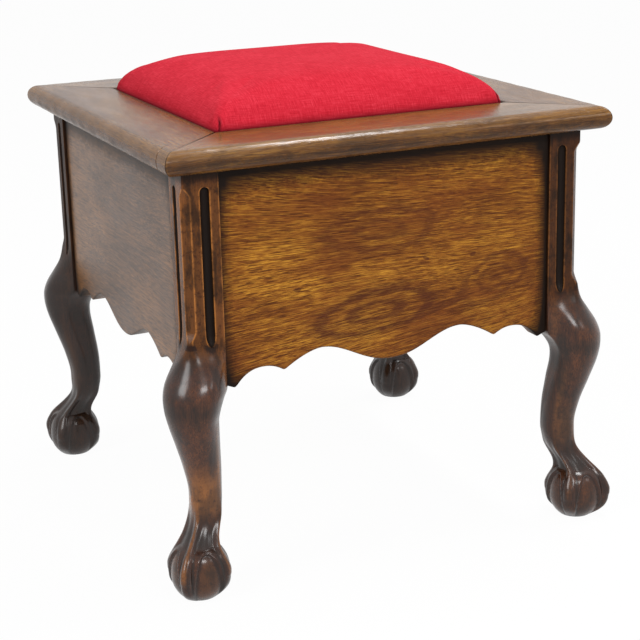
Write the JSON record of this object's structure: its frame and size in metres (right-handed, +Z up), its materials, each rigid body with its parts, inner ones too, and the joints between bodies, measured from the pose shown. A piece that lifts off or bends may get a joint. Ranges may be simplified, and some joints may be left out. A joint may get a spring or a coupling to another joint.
{
  "type": "shoe shine footstool",
  "caption": "Square wooden footstool on cabriole legs with claw-and-ball feet; its padded lid lifts on back hinges over a storage box with a shoe rest.",
  "frame": {"origin": "on the floor under the middle of the stool", "axes": "+X to the right along the front, -Y is the front, +Y is the hinge side, +Z up"},
  "size_m": [0.4558, 0.4558, 0.454],
  "materials": {
    "leg_wood": "dark red-brown polished hardwood",
    "panel_wood": "golden brown figured veneer, satin lacquer, shaded edges",
    "lid_wood": "brown polished hardwood",
    "inside_wood": "bare softwood",
    "plywood": "bare plywood",
    "foam": "upholstery filling",
    "red_cloth": "crimson plain weave",
    "brass": "aged brass",
    "steel": "plain steel"
  },
  "bodies": {
    "carcass": {"leg_front_left": "leg_wood", "leg_front_right": "leg_wood", "leg_back_left": "leg_wood", "leg_back_right": "leg_wood", "panel_front": "panel_wood", "panel_right": "panel_wood", "panel_back": "panel_wood", "panel_left": "panel_wood", "cleat_front": "inside_wood", "cleat_right": "inside_wood", "cleat_back": "inside_wood", "cleat_left": "inside_wood", "bottom_board": "inside_wood", "rest_upright": "inside_wood", "rest_sole": "inside_wood", "rest_heel": "inside_wood", "hinge_left_lower_leaf": "brass", "hinge_left_pin": "brass", "hinge_left_lower_screw_1": "brass", "hinge_left_lower_screw_2": "brass", "hinge_right_lower_leaf": "brass", "hinge_right_pin": "brass", "hinge_right_lower_screw_1": "brass", "hinge_right_lower_screw_2": "brass", "cleat_screw_front_1": "steel", "cleat_screw_front_2": "steel", "cleat_screw_right_1": "steel", "cleat_screw_right_2": "steel", "cleat_screw_back_1": "steel", "cleat_screw_back_2": "steel", "cleat_screw_left_1": "steel", "cleat_screw_left_2": "steel", "rest_screw_1": "steel", "sole_screw_1": "steel", "rest_screw_2": "steel", "sole_screw_2": "steel"},
    "lid": {"lid_rail_front": "lid_wood", "lid_rail_right": "lid_wood", "lid_rail_back": "lid_wood", "lid_rail_left": "lid_wood", "mitre_spline_front_left": "inside_wood", "mitre_spline_front_right": "inside_wood", "mitre_spline_back_left": "inside_wood", "mitre_spline_back_right": "inside_wood", "seat_board": "plywood", "seat_foam": "foam", "seat_cover": "red_cloth", "hinge_left_upper_leaf": "brass", "hinge_left_upper_screw_1": "brass", "hinge_left_upper_screw_2": "brass", "hinge_right_upper_leaf": "brass", "hinge_right_upper_screw_1": "brass", "hinge_right_upper_screw_2": "brass", "seat_screw_front": "steel", "seat_screw_right": "steel", "seat_screw_back": "steel", "seat_screw_left": "steel"}
  },
  "joints": [
    {"name": "lid_hinge", "type": "hinge", "parent": "carcass", "child": "lid", "pos_m": [0, 0.2026, 0.39285], "axis": [-1, 0, 0], "range_deg": [0, 97]}
  ]
}
